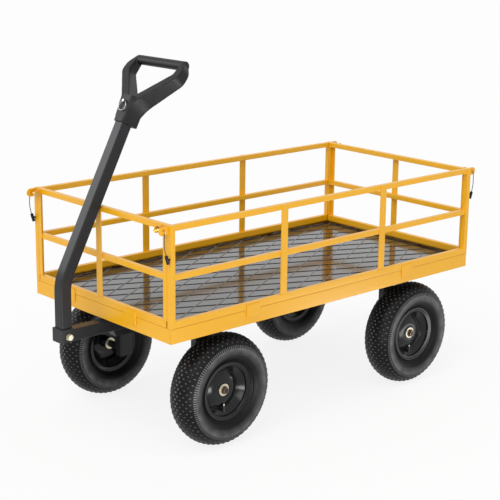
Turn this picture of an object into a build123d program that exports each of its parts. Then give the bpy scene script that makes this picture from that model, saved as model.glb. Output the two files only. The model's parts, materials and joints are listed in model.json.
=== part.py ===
from build123d import *
import os
from math import cos, degrees, radians, sin, tan

# Four-wheel utility cart with lift-off rail panels, a steered front axle and a pull handle, shown parked.
# Millimetres, +X to the front, +Y to the cart's left, +Z up, origin on the floor under the middle of the box.

# Clearances
weld_gap = 0.2  # between members that meet at a weld
running_fit = 0.05  # radial, pins and axles that turn or slide
press_fit = 0.02  # radial, pieces that are pressed or welded in place
face_gap = 0.3  # between faces that move past each other
tab_gap = 0.4  # panel tabs in front of the skirt
seat_gap = 0.5  # panels above the skirt
corner_gap = 1.0  # between neighbouring panels, and between a latch pin and its keeper
deck_gap = 1.0  # around the deck
ring_play = 1.0  # around the split ring in its eye

# Bed
bed_length = 1247.0
bed_width = 641.0
skirt_height = 42.0
skirt_wall = 3.0
ledge_width = 30.0
deck_thickness = 2.0
deck_drop = 6.0  # deck below the top edge of the skirt
cross_width = 50.0
cross_height = 31.0
cross_wall = 2.5

# Wheels
tyre_radius = 165.0
tyre_width = 104.0
tyre_wall = 6.0
tread_thickness = 11.0
tread_width = 66.0
shoulder_drop = 9.0  # edge of the tread below the crown
bead_width = 9.0
wheel_track = 541.0  # between the middle planes of two wheels on one axle
tyre_headroom = 25.0  # tyre top to the skirt's lower edge
rim_width = 70.0
rim_seat_radius = 76.0
rim_flange_height = 10.5
rim_wall = 2.5
rim_well_radius = 58.0
rim_well_width = 16.0
disc_offset = 6.0  # disc's edge outboard of the wheel's middle plane
disc_rise = 6.5  # from the disc's edge to the hub
disc_dome = 3.0
hub_radius = 19.0
hub_length = 34.0
bearing_radius = 16.0
bearing_length = 12.0
bearing_flange_radius = 18.0
bearing_flange = 2.0
tube_section_radius = 27.0
tube_wall = 2.0
tube_seam = 0.4  # hairline left open on the rim side
tube_drop = 3.0  # inner tube below the middle of the tyre's section
valve_radius = 4.0
valve_length = 11.0  # stem inside the rim's well
valve_offset = 18.0  # outboard of the wheel's middle plane

# Axles
front_axle_inset = 218.5  # axle behind the bed's front edge
rear_axle_inset = 230.5
axle_radius = 8.0
axle_root_radius = 11.0
axle_thread_radius = 6.0
axle_washer_radius = 12.0
axle_washer = 2.0
axle_nut_flats = 18.0
axle_nut = 8.0
leg_length_x = 46.0
leg_width = 25.0
leg_wall = 3.0
leg_inner_reach = 168.0
leg_tail = 17.0  # leg below the axle
beam_width = 50.0
beam_height = 36.0
beam_wall = 3.0
pivot_plate_width = 150.0
pivot_plate_corner = 10.0
pivot_plate = 6.0
pad_radius = 55.0
pad_thickness = 5.0
kingpin_radius = 10.0
kingpin_washer_radius = 20.0
kingpin_washer = 3.0
kingpin_nut_flats = 30.0
kingpin_nut = 14.0
axle_bolt_radius = 5.0
axle_bolt_flats = 16.0
axle_bolt_head = 6.0
axle_bolt_reaches = (55.0, 115.0)  # from the cart's middle plane

# Tongue and handle
bar = 35.0  # square tube of the tongue and the handle
bar_wall = 2.5
bar_corner = 3.0
tongue_reach = 341.5  # handle pivot ahead of the front axle
tongue_plug = 60.0  # solid nose around the pivot
brace_length = 158.0
brace_height = 19.0
pivot_radius = 5.0
pivot_flats = 16.0
pivot_head = 7.0
pivot_washer_radius = 9.5
pivot_washer = 2.0
yoke_wall = 5.0
yoke_side_gap = 0.3  # between a cheek and the tubes
yoke_front = 19.5  # inside of the web ahead of the pivot
yoke_back = 30.0  # rounded cheeks behind the pivot
yoke_below = 16.5
yoke_above = 23.5
handle_lean = 27.4  # degrees back from upright
handle_bend_radius = 130.0
handle_reach = 516.0  # bend corner to the grip's knuckle
park_gap = 5.0  # parked handle ahead of the front panel's top rail
grip_lean = 17.0  # further lean of the D, degrees
grip_socket_width = 46.0
grip_socket_front = 22.5  # ahead of the tube's axis
grip_socket_back = 36.0
grip_socket_below = 45.0
grip_socket_above = 36.0
grip_corner = 8.0
grip_thickness = 28.0  # round bar of the D
grip_width = 248.0
grip_height = 182.0
grip_neck_height = 8.0
grip_neck_depth = 40.0  # D's root below the knuckle
grip_neck_round = 95.0
grip_shoulder_height = 116.0
grip_arm = 26.0  # width of the D's arms
grip_top_width = 196.0
grip_corner_drop = 34.0
grip_shoulder_round = 30.0
grip_top_round = 16.0
grip_window_round = 10.0
tube_in_grip = 24.0  # tube end past the knuckle
grip_pin_rise = 14.0  # pin past the knuckle
grip_pin_radius = 4.0
grip_pin_eye = 4.5  # eye in front of the socket
grip_pin_nose = 9.0  # pin end in front of the socket
grip_pin_tail = 3.0
ring_radius = 14.0
ring_wire = 1.3

# Panels
panel_height = 285.0  # top of the panel above the skirt
rail = 16.0
rail_wall = 1.5
bottom_rail_height = 20.0
mid_rail_drop = 136.0  # top of the middle rail below the top of the panel
strap_width = 25.0
strap = 3.0
side_strap_reaches = (-207.0, 207.0)
end_strap_reaches = (0.0,)
end_strap_drop = 6.0  # strap below the top of the end panel
post = 16.0
post_wall = 1.5
tab_width = 50.0
tab_thickness = 3.0
tab_drop = 24.0
tab_rise = 16.0
side_tab_reaches = (-327.0, 327.0)
end_tab_reaches = (-145.0, 145.0)
lug_reach = 32.0
lug_height = 24.0
lug_thickness = 4.0
lug_inset = 8.0
keeper_thickness = 4.0
keeper_height = 20.0

# Corner pins and lanyards
pin_radius = 4.0
pin_reach = 17.0  # outboard of the corner post
pin_head_radius = 9.5
pin_head = 3.0
pin_inboard = 25.0  # head inboard of the lug
pin_outboard = 9.0  # tip outboard of the lug
cord_radius = 1.2
ferrule_radius = 4.6
ferrule_length = 24.0
ferrule_rivet_radius = 3.0

# Levels and places that follow
axle_z = tyre_radius
skirt_z = 2 * tyre_radius + tyre_headroom
skirt_top = skirt_z + skirt_height
deck_top = skirt_top - deck_drop
deck_under = deck_top - deck_thickness
cross_under = deck_under - cross_height
plate_under = cross_under - pivot_plate
pad_top = plate_under - face_gap
front_beam_top = pad_top - pad_thickness
rear_beam_top = cross_under
pivot_z = front_beam_top - beam_height / 2
panel_top = skirt_top + panel_height
panel_seat = skirt_top + seat_gap
bottom_rail_top = panel_seat + bottom_rail_height
mid_rail_top = panel_top - mid_rail_drop
end_strap_top = panel_top - end_strap_drop

wheel_y = wheel_track / 2
front_axle_reach = bed_length / 2 - front_axle_inset
rear_axle_reach = bed_length / 2 - rear_axle_inset
yoke_tip = front_axle_reach + tongue_reach + yoke_front + yoke_wall
lug_tip = bed_length / 2 + lug_reach
bed_x = (lug_tip - yoke_tip) / 2
front_x = bed_x + front_axle_reach
rear_x = bed_x - rear_axle_reach
pivot_x = front_x + tongue_reach
side_plane = bed_width / 2 + tab_gap
end_plane = bed_length / 2 + tab_gap
end_half_width = side_plane - post - corner_gap
keeper_reach = pin_reach - pin_radius - tab_gap - corner_gap
hub_half = hub_length / 2 + bearing_flange
axle_shoulder = hub_half + face_gap

os.makedirs("parts", exist_ok=True)


def write(piece, name):
    piece.part.label = name
    export_step(piece.part, f"parts/{name}.step")


def profile_plane(y=0.0):
    """Side elevation at a place across the cart: sketch in X and Z, normal to the right."""
    return Plane(origin=(0, y, 0), x_dir=(1, 0, 0), z_dir=(0, -1, 0))


def crosswise(x, y, z):
    """Plane across the cart at a point: what is extruded from it runs to the left."""
    return Plane(origin=(x, y, z), x_dir=(1, 0, 0), z_dir=(0, 1, 0))


# Bed frame: two long and two short folded members, each a skirt with a ledge for the deck
with BuildPart() as bed_frame:
    for side in (1, -1):
        with BuildSketch(Plane.XY.offset(skirt_z)):
            with Locations((bed_x, side * (bed_width - skirt_wall) / 2)):
                Rectangle(bed_length, skirt_wall)
        extrude(amount=skirt_height)
        with BuildSketch(Plane.XY.offset(deck_under)):
            with Locations((bed_x, side * ((bed_width - ledge_width) / 2 - skirt_wall))):
                Rectangle(bed_length - 2 * (skirt_wall + weld_gap), ledge_width)
        extrude(amount=-skirt_wall)
        with BuildSketch(Plane.XY.offset(skirt_z)):
            with Locations((bed_x + side * (bed_length - skirt_wall) / 2, 0)):
                Rectangle(skirt_wall, bed_width - 2 * (skirt_wall + weld_gap))
        extrude(amount=skirt_height)
        with BuildSketch(Plane.XY.offset(deck_under)):
            with Locations((bed_x + side * ((bed_length - ledge_width) / 2 - skirt_wall), 0)):
                Rectangle(ledge_width, bed_width - 2 * (skirt_wall + ledge_width + weld_gap))
        extrude(amount=-skirt_wall)
write(bed_frame, "bed_frame")

# Deck: one pressed sheet that lies on the ledges
with BuildPart() as deck_sheet:
    with BuildSketch(Plane.XY.offset(deck_under)):
        with Locations((bed_x, 0)):
            Rectangle(bed_length - 2 * (skirt_wall + deck_gap), bed_width - 2 * (skirt_wall + deck_gap))
    extrude(amount=deck_thickness)
write(deck_sheet, "deck_sheet")

# Cross members: tubes under the deck at both axles and between them, their ends coped over the ledges
with BuildPart() as cross_members:
    cross_span = bed_width - 2 * (skirt_wall + weld_gap)
    for x in (front_x, bed_x, rear_x):
        with BuildSketch(Plane.XY.offset(cross_under)):
            with Locations((x, 0)):
                Rectangle(cross_width, cross_span)
        extrude(amount=cross_height)
        with BuildSketch(Plane.XY.offset(cross_under + cross_wall)):
            with Locations((x, 0)):
                Rectangle(cross_width - 2 * cross_wall, cross_span)
        extrude(amount=cross_height - 2 * cross_wall, mode=Mode.SUBTRACT)
        with BuildSketch(Plane.XY.offset(deck_under)):
            for side in (1, -1):
                with Locations((x, side * (cross_span - ledge_width) / 2)):
                    Rectangle(cross_width, ledge_width + 2 * weld_gap)
        extrude(amount=-(skirt_wall + weld_gap), mode=Mode.SUBTRACT)
    with BuildSketch(Plane.XY.offset(cross_under)):
        with Locations(*[(rear_x, side * y) for side in (1, -1) for y in axle_bolt_reaches]):
            Circle(axle_bolt_radius + running_fit)
    extrude(amount=cross_wall, mode=Mode.SUBTRACT)
write(cross_members, "cross_members")

# Pivot plate under the front cross member
with BuildPart() as pivot_plate_piece:
    with BuildSketch(Plane.XY.offset(plate_under)):
        with Locations((front_x, 0)):
            RectangleRounded(pivot_plate_width, pivot_plate_width, pivot_plate_corner)
            Circle(kingpin_radius + press_fit, mode=Mode.SUBTRACT)
    extrude(amount=pivot_plate)
write(pivot_plate_piece, "front_pivot_plate")

# Kingpin welded into the plate, with a flange nut under the steered beam
beam_under = front_beam_top - beam_height
nut_flange_top = beam_under - face_gap
nut_top = nut_flange_top - kingpin_washer
with BuildPart() as kingpin:
    with BuildSketch(Plane.XY.offset(cross_under)):
        with Locations((front_x, 0)):
            Circle(kingpin_radius)
    extrude(amount=-(cross_under - nut_top + kingpin_nut))
write(kingpin, "kingpin")

with BuildPart() as kingpin_nut_piece:
    with BuildSketch(Plane.XY.offset(nut_flange_top)):
        with Locations((front_x, 0)):
            Circle(kingpin_washer_radius)
    extrude(amount=-kingpin_washer)
    with BuildSketch(Plane.XY.offset(nut_top)):
        with Locations((front_x, 0)):
            RegularPolygon(kingpin_nut_flats / 2, 6, major_radius=False)
    extrude(amount=-kingpin_nut)
    with BuildSketch(Plane.XY.offset(nut_flange_top)):
        with Locations((front_x, 0)):
            Circle(kingpin_radius + press_fit)
    extrude(amount=-(kingpin_washer + kingpin_nut), mode=Mode.SUBTRACT)
write(kingpin_nut_piece, "kingpin_nut")


def axle_beam(x, top):
    """Square-ended tube between the two legs of an axle."""
    with BuildPart() as beam:
        with BuildSketch(Plane.XY.offset(top - beam_height)):
            with Locations((x, 0)):
                Rectangle(beam_width, 2 * leg_inner_reach)
        extrude(amount=beam_height)
        with BuildSketch(Plane.XY.offset(top - beam_height + beam_wall)):
            with Locations((x, 0)):
                Rectangle(beam_width - 2 * beam_wall, 2 * leg_inner_reach)
        extrude(amount=beam_height - 2 * beam_wall, mode=Mode.SUBTRACT)
    return beam


def axle_legs(x, top):
    """Two tube legs that drop from the beam to the stub axles."""
    leg_foot = axle_z - leg_tail
    leg_y = leg_inner_reach + leg_width / 2
    with BuildPart() as legs:
        for side in (1, -1):
            with BuildSketch(Plane.XY.offset(leg_foot)):
                with Locations((x, side * leg_y)):
                    Rectangle(leg_length_x, leg_width)
                    Rectangle(leg_length_x - 2 * leg_wall, leg_width - 2 * leg_wall, mode=Mode.SUBTRACT)
            extrude(amount=top - leg_foot)
            with BuildSketch(crosswise(x, side * leg_y, axle_z)):
                Circle(axle_root_radius + press_fit)
            extrude(amount=leg_width, both=True, mode=Mode.SUBTRACT)
    return legs


def stub_axles(x):
    """Two turned axles, each with a thick root in the leg and a thread for its nut."""
    root_end = wheel_y - axle_shoulder
    journal_end = wheel_y + axle_shoulder
    tip = journal_end + axle_washer + axle_nut
    steps = ((axle_root_radius, root_end), (axle_radius, journal_end), (axle_thread_radius, tip))
    with BuildPart() as axles:
        for side in (1, -1):
            start = crosswise(x, side * leg_inner_reach, axle_z)
            for radius, end in steps:
                with BuildSketch(start):
                    Circle(radius)
                extrude(amount=side * (end - leg_inner_reach))
    return axles


def axle_nuts(x):
    """Flange nut on each axle end."""
    washer_y = wheel_y + axle_shoulder
    with BuildPart() as nuts:
        for side in (1, -1):
            with BuildSketch(crosswise(x, side * washer_y, axle_z)):
                Circle(axle_washer_radius)
            extrude(amount=side * axle_washer)
            with BuildSketch(crosswise(x, side * (washer_y + axle_washer), axle_z)):
                RegularPolygon(axle_nut_flats / 2, 6, major_radius=False)
            extrude(amount=side * axle_nut)
            with BuildSketch(crosswise(x, side * washer_y, axle_z)):
                Circle(axle_thread_radius + press_fit)
            extrude(amount=side * (axle_washer + axle_nut), mode=Mode.SUBTRACT)
    return nuts


# Rear axle: bolted up under the rear cross member
rear_axle_beam = axle_beam(rear_x, rear_beam_top)
with BuildPart() as rear_beam:
    add(rear_axle_beam.part)
    with BuildSketch(Plane.XY.offset(rear_beam_top)):
        with Locations(*[(rear_x, side * y) for side in (1, -1) for y in axle_bolt_reaches]):
            Circle(axle_bolt_radius + running_fit)
    extrude(amount=-beam_height, mode=Mode.SUBTRACT)
write(rear_beam, "rear_axle_beam")
write(axle_legs(rear_x, rear_beam_top), "rear_axle_legs")
write(stub_axles(rear_x), "rear_stub_axles")
write(axle_nuts(rear_x), "rear_axle_nuts")

with BuildPart() as rear_axle_bolts:
    bolt_places = [(rear_x, side * y) for side in (1, -1) for y in axle_bolt_reaches]
    with BuildSketch(Plane.XY.offset(rear_beam_top - beam_height)):
        with Locations(*bolt_places):
            Circle(axle_bolt_radius)
    extrude(amount=beam_height + cross_wall)
    with BuildSketch(Plane.XY.offset(rear_beam_top - beam_height)):
        with Locations(*bolt_places):
            RegularPolygon(axle_bolt_flats / 2, 6, major_radius=False)
    extrude(amount=-axle_bolt_head)
write(rear_axle_bolts, "rear_axle_bolts")

# Front axle: turns on the kingpin under a welded pad
front_axle_beam = axle_beam(front_x, front_beam_top)
with BuildPart() as front_beam:
    add(front_axle_beam.part)
    with BuildSketch(Plane.XY.offset(front_beam_top)):
        with Locations((front_x, 0)):
            Circle(pad_radius)
    extrude(amount=pad_thickness)
    with BuildSketch(Plane.XY.offset(pad_top)):
        with Locations((front_x, 0)):
            Circle(kingpin_radius + running_fit)
    extrude(amount=-(pad_thickness + beam_height), mode=Mode.SUBTRACT)
write(front_beam, "front_axle_beam")
write(axle_legs(front_x, front_beam_top), "front_axle_legs")
write(stub_axles(front_x), "front_stub_axles")
write(axle_nuts(front_x), "front_axle_nuts")

# Tongue: square tube from the beam to the handle pivot, with a rounded solid nose and a brace below
tongue_root = front_x + beam_width / 2
with BuildPart() as tongue:
    with BuildSketch(profile_plane()):
        with Locations(((tongue_root + pivot_x) / 2, pivot_z)):
            Rectangle(pivot_x - tongue_root, bar)
        with Locations((pivot_x, pivot_z)):
            Circle(bar / 2)
    extrude(amount=bar / 2, both=True)
    long_edges = tongue.edges().filter_by(Axis.X)
    fillet(long_edges, bar_corner)
    bore_length = pivot_x - tongue_plug - tongue_root
    with BuildSketch(Plane.YZ.offset(tongue_root)):
        with Locations((0, pivot_z)):
            Rectangle(bar - 2 * bar_wall, bar - 2 * bar_wall)
    extrude(amount=bore_length, mode=Mode.SUBTRACT)
    with BuildSketch(profile_plane()):
        with Locations((pivot_x, pivot_z)):
            Circle(pivot_radius + running_fit)
    extrude(amount=bar, both=True, mode=Mode.SUBTRACT)
    with BuildSketch(profile_plane()):
        with BuildLine():
            Polyline(
                (tongue_root, pivot_z - bar / 2 + bar_wall),
                (tongue_root + brace_length, pivot_z - bar / 2 + bar_wall),
                (tongue_root + brace_length - brace_height / 2, pivot_z - bar / 2 - brace_height),
                (tongue_root, pivot_z - bar / 2 - brace_height),
                close=True,
            )
        make_face()
    extrude(amount=bar / 2 - bar_corner, both=True)
write(tongue, "tongue")

# Handle axis: up from the pivot, then back along a straight line that clears the front panel's top rail
lean = radians(handle_lean)
along = (-sin(lean), cos(lean))
ahead = (cos(lean), sin(lean))
handle_x = pivot_x + yoke_front - bar / 2
clear = bar / 2 + park_gap
panel_edge_x = bed_x + end_plane - strap
bend_z = panel_top + clear * ahead[1] - (handle_x - panel_edge_x - clear * ahead[0]) / tan(lean)
handle_foot = pivot_z + bar / 2 + face_gap
pin_reach_up = handle_reach + grip_pin_rise


def on_handle(distance, forward=0.0):
    """A point on the leaning part of the handle, measured from the bend's corner."""
    x = handle_x + along[0] * distance + ahead[0] * forward
    z = bend_z + along[1] * distance + ahead[1] * forward
    return (x, 0, z)


def handle_plane(distance):
    """Plane square to the leaning tube: local X to the left, normal up the tube."""
    return Plane(origin=on_handle(distance), x_dir=(0, 1, 0), z_dir=(along[0], 0, along[1]))


def pin_plane(forward):
    """Plane square to the grip pin: local X to the left, normal forward along the pin."""
    return Plane(origin=on_handle(pin_reach_up, forward), x_dir=(0, 1, 0), z_dir=(ahead[0], 0, ahead[1]))


# Yoke: a folded strap whose cheeks straddle the tongue
with BuildPart() as yoke:
    cheek_inner = bar / 2 + yoke_side_gap
    web_front = pivot_x + yoke_front + yoke_wall
    round_x = pivot_x - yoke_back + (yoke_above + yoke_below) / 2
    for side in (1, -1):
        with BuildSketch(profile_plane(side * (cheek_inner + yoke_wall / 2))):
            with BuildLine():
                Polyline(
                    (round_x, pivot_z - yoke_below),
                    (web_front, pivot_z - yoke_below),
                    (web_front, pivot_z + yoke_above),
                    (round_x, pivot_z + yoke_above),
                )
                ThreePointArc(
                    (round_x, pivot_z + yoke_above),
                    (pivot_x - yoke_back, pivot_z + (yoke_above - yoke_below) / 2),
                    (round_x, pivot_z - yoke_below),
                )
            make_face()
        extrude(amount=yoke_wall / 2, both=True)
    with BuildSketch(profile_plane()):
        with Locations((web_front - yoke_wall / 2, pivot_z + (yoke_above - yoke_below) / 2)):
            Rectangle(yoke_wall, yoke_above + yoke_below)
    extrude(amount=cheek_inner, both=True)
    with BuildSketch(profile_plane()):
        with Locations((pivot_x, pivot_z)):
            Circle(pivot_radius + press_fit)
    extrude(amount=bar, both=True, mode=Mode.SUBTRACT)
write(yoke, "yoke")

# Handle tube: bent square tube welded to the yoke's web
with BuildPart() as handle_tube:
    tube_end = on_handle(handle_reach + tube_in_grip)
    with BuildLine(Plane.XZ):
        FilletPolyline(
            (handle_x, handle_foot),
            (handle_x, bend_z),
            (tube_end[0], tube_end[2]),
            radius=handle_bend_radius,
        )
    with BuildSketch(Plane.XY.offset(handle_foot)):
        with Locations((handle_x, 0)):
            RectangleRounded(bar, bar, bar_corner)
            Rectangle(bar - 2 * bar_wall, bar - 2 * bar_wall, mode=Mode.SUBTRACT)
    sweep()
    with BuildSketch(pin_plane(0)):
        Circle(grip_pin_radius + running_fit)
    extrude(amount=bar, both=True, mode=Mode.SUBTRACT)
write(handle_tube, "handle_tube")

# Pivot bolt through yoke and tongue: flanged head on the left, flange nut on the right
with BuildPart() as pivot_bolt:
    clamp = cheek_inner + yoke_wall
    bolt_end = clamp + pivot_washer + pivot_head
    for side in (1, -1):
        with BuildSketch(crosswise(pivot_x, side * clamp, pivot_z)):
            Circle(pivot_washer_radius)
        extrude(amount=side * pivot_washer)
        with BuildSketch(crosswise(pivot_x, side * (clamp + pivot_washer), pivot_z)):
            RegularPolygon(pivot_flats / 2, 6, major_radius=False)
        extrude(amount=side * pivot_head)
    with BuildSketch(crosswise(pivot_x, -bolt_end, pivot_z)):
        Circle(pivot_radius + press_fit)
    extrude(amount=bolt_end, mode=Mode.SUBTRACT)
    with BuildSketch(crosswise(pivot_x, -bolt_end, pivot_z)):
        Circle(pivot_radius)
    extrude(amount=bolt_end + clamp)
write(pivot_bolt, "pivot_bolt")

# Grip: moulded D on a socket that the tube plugs into
grip_turn = radians(handle_lean + grip_lean)
grip_plane = Plane(
    origin=on_handle(handle_reach),
    x_dir=(0, 1, 0),
    z_dir=(cos(grip_turn), 0, sin(grip_turn)),
)
grip_side = Plane(
    origin=on_handle(handle_reach),
    x_dir=(-sin(grip_turn), 0, cos(grip_turn)),
    z_dir=(0, 1, 0),
)
bar_radius = grip_thickness / 2
bar_height = grip_height - bar_radius
root_slope = tan(radians(grip_lean))  # the D's root is square to the tube
root_front = grip_socket_front - grip_neck_depth * root_slope
root_back = (root_front + grip_socket_back) * root_slope - grip_neck_depth
socket_depth = grip_socket_front + grip_socket_back
neck_half = grip_socket_width / 2
arm_slope = (grip_shoulder_height - grip_neck_height) / (grip_width / 2 - neck_half)
arm_rise = grip_arm * (1 + arm_slope**2) ** 0.5
window_half = grip_width / 2 - grip_arm
window_foot = grip_neck_height + arm_rise - neck_half * arm_slope
window_shoulder = window_foot + window_half * arm_slope
with BuildPart() as grip:
    with BuildSketch(grip_plane):
        with BuildLine():
            half = [
                (neck_half, -grip_neck_depth),
                (neck_half, grip_neck_height),
                (grip_width / 2, grip_shoulder_height),
                (grip_width / 2, grip_height - grip_corner_drop),
                (grip_top_width / 2, grip_height),
            ]
            rounds = [grip_corner, grip_neck_round, grip_shoulder_round, grip_shoulder_round, grip_top_round]
            other_half = [(-y, h) for y, h in reversed(half)]
            FilletPolyline(*half, *other_half, radius=rounds + rounds[::-1], close=True)
        make_face()
        with BuildLine():
            FilletPolyline(
                (0, window_foot),
                (window_half, window_shoulder),
                (window_half, grip_height + bar_radius),
                (-window_half, grip_height + bar_radius),
                (-window_half, window_shoulder),
                radius=grip_window_round,
                close=True,
            )
        make_face(mode=Mode.SUBTRACT)
    extrude(amount=grip_socket_back, both=True)
    with BuildSketch(grip_side):
        with BuildLine():
            Polyline(
                (-grip_neck_depth, root_front),
                (0, grip_socket_front),
                (bar_height, bar_radius),
                (bar_height, -bar_radius),
                (root_back, -grip_socket_back),
                close=True,
            )
        make_face()
        with Locations((bar_height, 0)):
            Circle(bar_radius)
    extrude(amount=grip_width / 2, both=True, mode=Mode.INTERSECT)
    with BuildSketch(grip_side):
        with Locations((bar_height, 0)):
            Circle(bar_radius)
    extrude(amount=window_half + grip_corner, both=True)
    with BuildSketch(handle_plane(handle_reach - grip_socket_below)):
        with Locations((0, (grip_socket_back - grip_socket_front) / 2)):
            RectangleRounded(grip_socket_width, socket_depth, grip_corner)
    extrude(amount=grip_socket_below + grip_socket_above)
    with BuildSketch(handle_plane(handle_reach - grip_socket_below)):
        Rectangle(bar + 2 * press_fit, bar + 2 * press_fit)
    extrude(amount=grip_socket_below + tube_in_grip, mode=Mode.SUBTRACT)
    with BuildSketch(pin_plane(0)):
        Circle(grip_pin_radius + running_fit)
    extrude(amount=socket_depth, both=True, mode=Mode.SUBTRACT)
write(grip, "grip")

# Grip pin: a plain pin through socket and tube, with an eye in front for the split ring
eye_forward = grip_socket_front + grip_pin_eye
with BuildPart() as grip_pin:
    with BuildSketch(pin_plane(grip_socket_front + grip_pin_nose)):
        Circle(grip_pin_radius)
    extrude(amount=-(socket_depth + grip_pin_nose + grip_pin_tail))
    with BuildSketch(crosswise(*on_handle(pin_reach_up, eye_forward))):
        Circle(ring_wire + ring_play)
    extrude(amount=grip_pin_radius, both=True, mode=Mode.SUBTRACT)
write(grip_pin, "grip_pin")

# Split ring: hangs down the front of the socket from the eye
with BuildPart() as grip_ring:
    ring_top = on_handle(pin_reach_up, eye_forward)
    ring_middle = on_handle(pin_reach_up - ring_radius, eye_forward)
    with BuildSketch(crosswise(*ring_top)):
        Circle(ring_wire)
    revolve(axis=Axis(ring_middle, (ahead[0], 0, ahead[1])))
write(grip_ring, "grip_ring")


def wheel(name, x, side):
    """One wheel: tyre, rim, bearings and inner tube, turned about the axle; side is 1 on the left."""
    middle = Plane(origin=(x, side * wheel_y, axle_z), x_dir=(0, side, 0), z_dir=(side, 0, 0))
    spin = Axis((x, side * wheel_y, axle_z), (0, 1, 0))
    flange_radius = rim_seat_radius + rim_flange_height
    flange_inner = rim_width / 2 - rim_wall
    bead_outer = flange_inner - press_fit
    bead_inner = bead_outer - bead_width
    bead_radius = rim_seat_radius + press_fit
    section_radius = (tyre_radius + flange_radius) / 2
    half_width = tyre_width / 2
    shoulder_y = half_width - tyre_wall
    shoulder_radius = tyre_radius - 2 * tread_thickness
    tread_y = tread_width / 2
    tread_radius = tyre_radius - shoulder_drop
    collar = flange_radius + rim_wall

    with BuildPart() as tyre:
        with BuildSketch(middle):
            with BuildLine():
                for turn in (1, -1):
                    Polyline(
                        (turn * bead_inner, collar),
                        (turn * bead_inner, bead_radius),
                        (turn * bead_outer, bead_radius),
                        (turn * bead_outer, collar),
                    )
                    bulge = (turn * half_width, section_radius)
                    cavity = (turn * (half_width - tyre_wall), section_radius)
                    TangentArc(bulge, (turn * bead_outer, collar), tangent=(0, -1))
                    TangentArc(bulge, (turn * shoulder_y, shoulder_radius), tangent=(0, 1))
                    Line((turn * shoulder_y, shoulder_radius), (turn * tread_y, tread_radius))
                    TangentArc(cavity, (turn * bead_inner, collar), tangent=(0, -1))
                    TangentArc(cavity, (turn * tread_y, shoulder_radius), tangent=(0, 1))
                ThreePointArc((-tread_y, tread_radius), (0, tyre_radius), (tread_y, tread_radius))
                crown = (0, tyre_radius - tread_thickness)
                ThreePointArc((-tread_y, shoulder_radius), crown, (tread_y, shoulder_radius))
            make_face()
        revolve(axis=spin)
    write(tyre, f"{name}_tyre")

    seat_inner = bead_inner - rim_wall
    well = rim_well_width / 2
    slope_wall = rim_wall * 1.5
    stem_tip = rim_well_radius - valve_length
    stem_plane = Plane(origin=(x, side * (wheel_y + valve_offset), axle_z - stem_tip), z_dir=(0, 0, -1))
    with BuildPart() as rim:
        with BuildSketch(middle):
            with BuildLine():
                Polyline(
                    (disc_offset, rim_well_radius - rim_wall),
                    (-well - slope_wall, rim_well_radius - rim_wall),
                    (-seat_inner - slope_wall, rim_seat_radius - rim_wall),
                    (-rim_width / 2, rim_seat_radius - rim_wall),
                    (-rim_width / 2, flange_radius),
                    (-flange_inner, flange_radius),
                    (-flange_inner, rim_seat_radius),
                    (-seat_inner, rim_seat_radius),
                    (-well, rim_well_radius),
                    (well, rim_well_radius),
                    (seat_inner, rim_seat_radius),
                    (flange_inner, rim_seat_radius),
                    (flange_inner, flange_radius),
                    (rim_width / 2, flange_radius),
                    (rim_width / 2, rim_seat_radius - rim_wall),
                    (seat_inner + slope_wall, rim_seat_radius - rim_wall),
                    (well + slope_wall, rim_well_radius - rim_wall),
                    (disc_offset + rim_wall, rim_well_radius - rim_wall),
                )
                dome_radius = (rim_well_radius - rim_wall + hub_radius) / 2
                dome_offset = disc_offset + disc_rise / 2 + disc_dome
                hub_offset = disc_offset + disc_rise
                ThreePointArc(
                    (disc_offset + rim_wall, rim_well_radius - rim_wall),
                    (dome_offset + rim_wall, dome_radius),
                    (hub_offset + rim_wall, hub_radius),
                )
                Polyline(
                    (hub_offset + rim_wall, hub_radius),
                    (hub_length / 2, hub_radius),
                    (hub_length / 2, bearing_radius),
                    (-hub_length / 2, bearing_radius),
                    (-hub_length / 2, hub_radius),
                    (hub_offset, hub_radius),
                )
                ThreePointArc(
                    (hub_offset, hub_radius),
                    (dome_offset, dome_radius),
                    (disc_offset, rim_well_radius - rim_wall),
                )
            make_face()
        revolve(axis=spin)
        with BuildSketch(stem_plane):
            Circle(valve_radius + running_fit)
        extrude(amount=rim_seat_radius - stem_tip, mode=Mode.SUBTRACT)
    write(rim, f"{name}_rim")

    with BuildPart() as bearings:
        for turn in (1, -1):
            with BuildSketch(middle):
                with BuildLine():
                    Polyline(
                        (turn * (hub_length / 2 - bearing_length), axle_radius + running_fit),
                        (turn * hub_half, axle_radius + running_fit),
                        (turn * hub_half, bearing_flange_radius),
                        (turn * hub_length / 2, bearing_flange_radius),
                        (turn * hub_length / 2, bearing_radius - press_fit),
                        (turn * (hub_length / 2 - bearing_length), bearing_radius - press_fit),
                        close=True,
                    )
                make_face()
            revolve(axis=spin)
    write(bearings, f"{name}_bearings")

    tube_radius = section_radius - tube_drop
    stem_root = tube_radius - (tube_section_radius**2 - (valve_offset + valve_radius) ** 2) ** 0.5
    seam_half = degrees(tube_seam / 2 / tube_section_radius)
    with BuildPart() as inner_tube:
        with BuildSketch(middle):
            with BuildLine():
                outside = CenterArc((0, tube_radius), tube_section_radius, seam_half - 90, 360 - 2 * seam_half)
                inside = CenterArc(
                    (0, tube_radius),
                    tube_section_radius - tube_wall,
                    seam_half - 90,
                    360 - 2 * seam_half,
                )
                Line(outside @ 0, inside @ 0)
                Line(outside @ 1, inside @ 1)
            make_face()
        revolve(axis=spin)
        with BuildSketch(stem_plane):
            Circle(valve_radius)
        extrude(amount=stem_root - stem_tip)
    write(inner_tube, f"{name}_inner_tube")


for name, x, side in (
    ("front_left", front_x, 1),
    ("front_right", front_x, -1),
    ("rear_left", rear_x, 1),
    ("rear_right", rear_x, -1),
):
    wheel(name, x, side)


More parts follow.
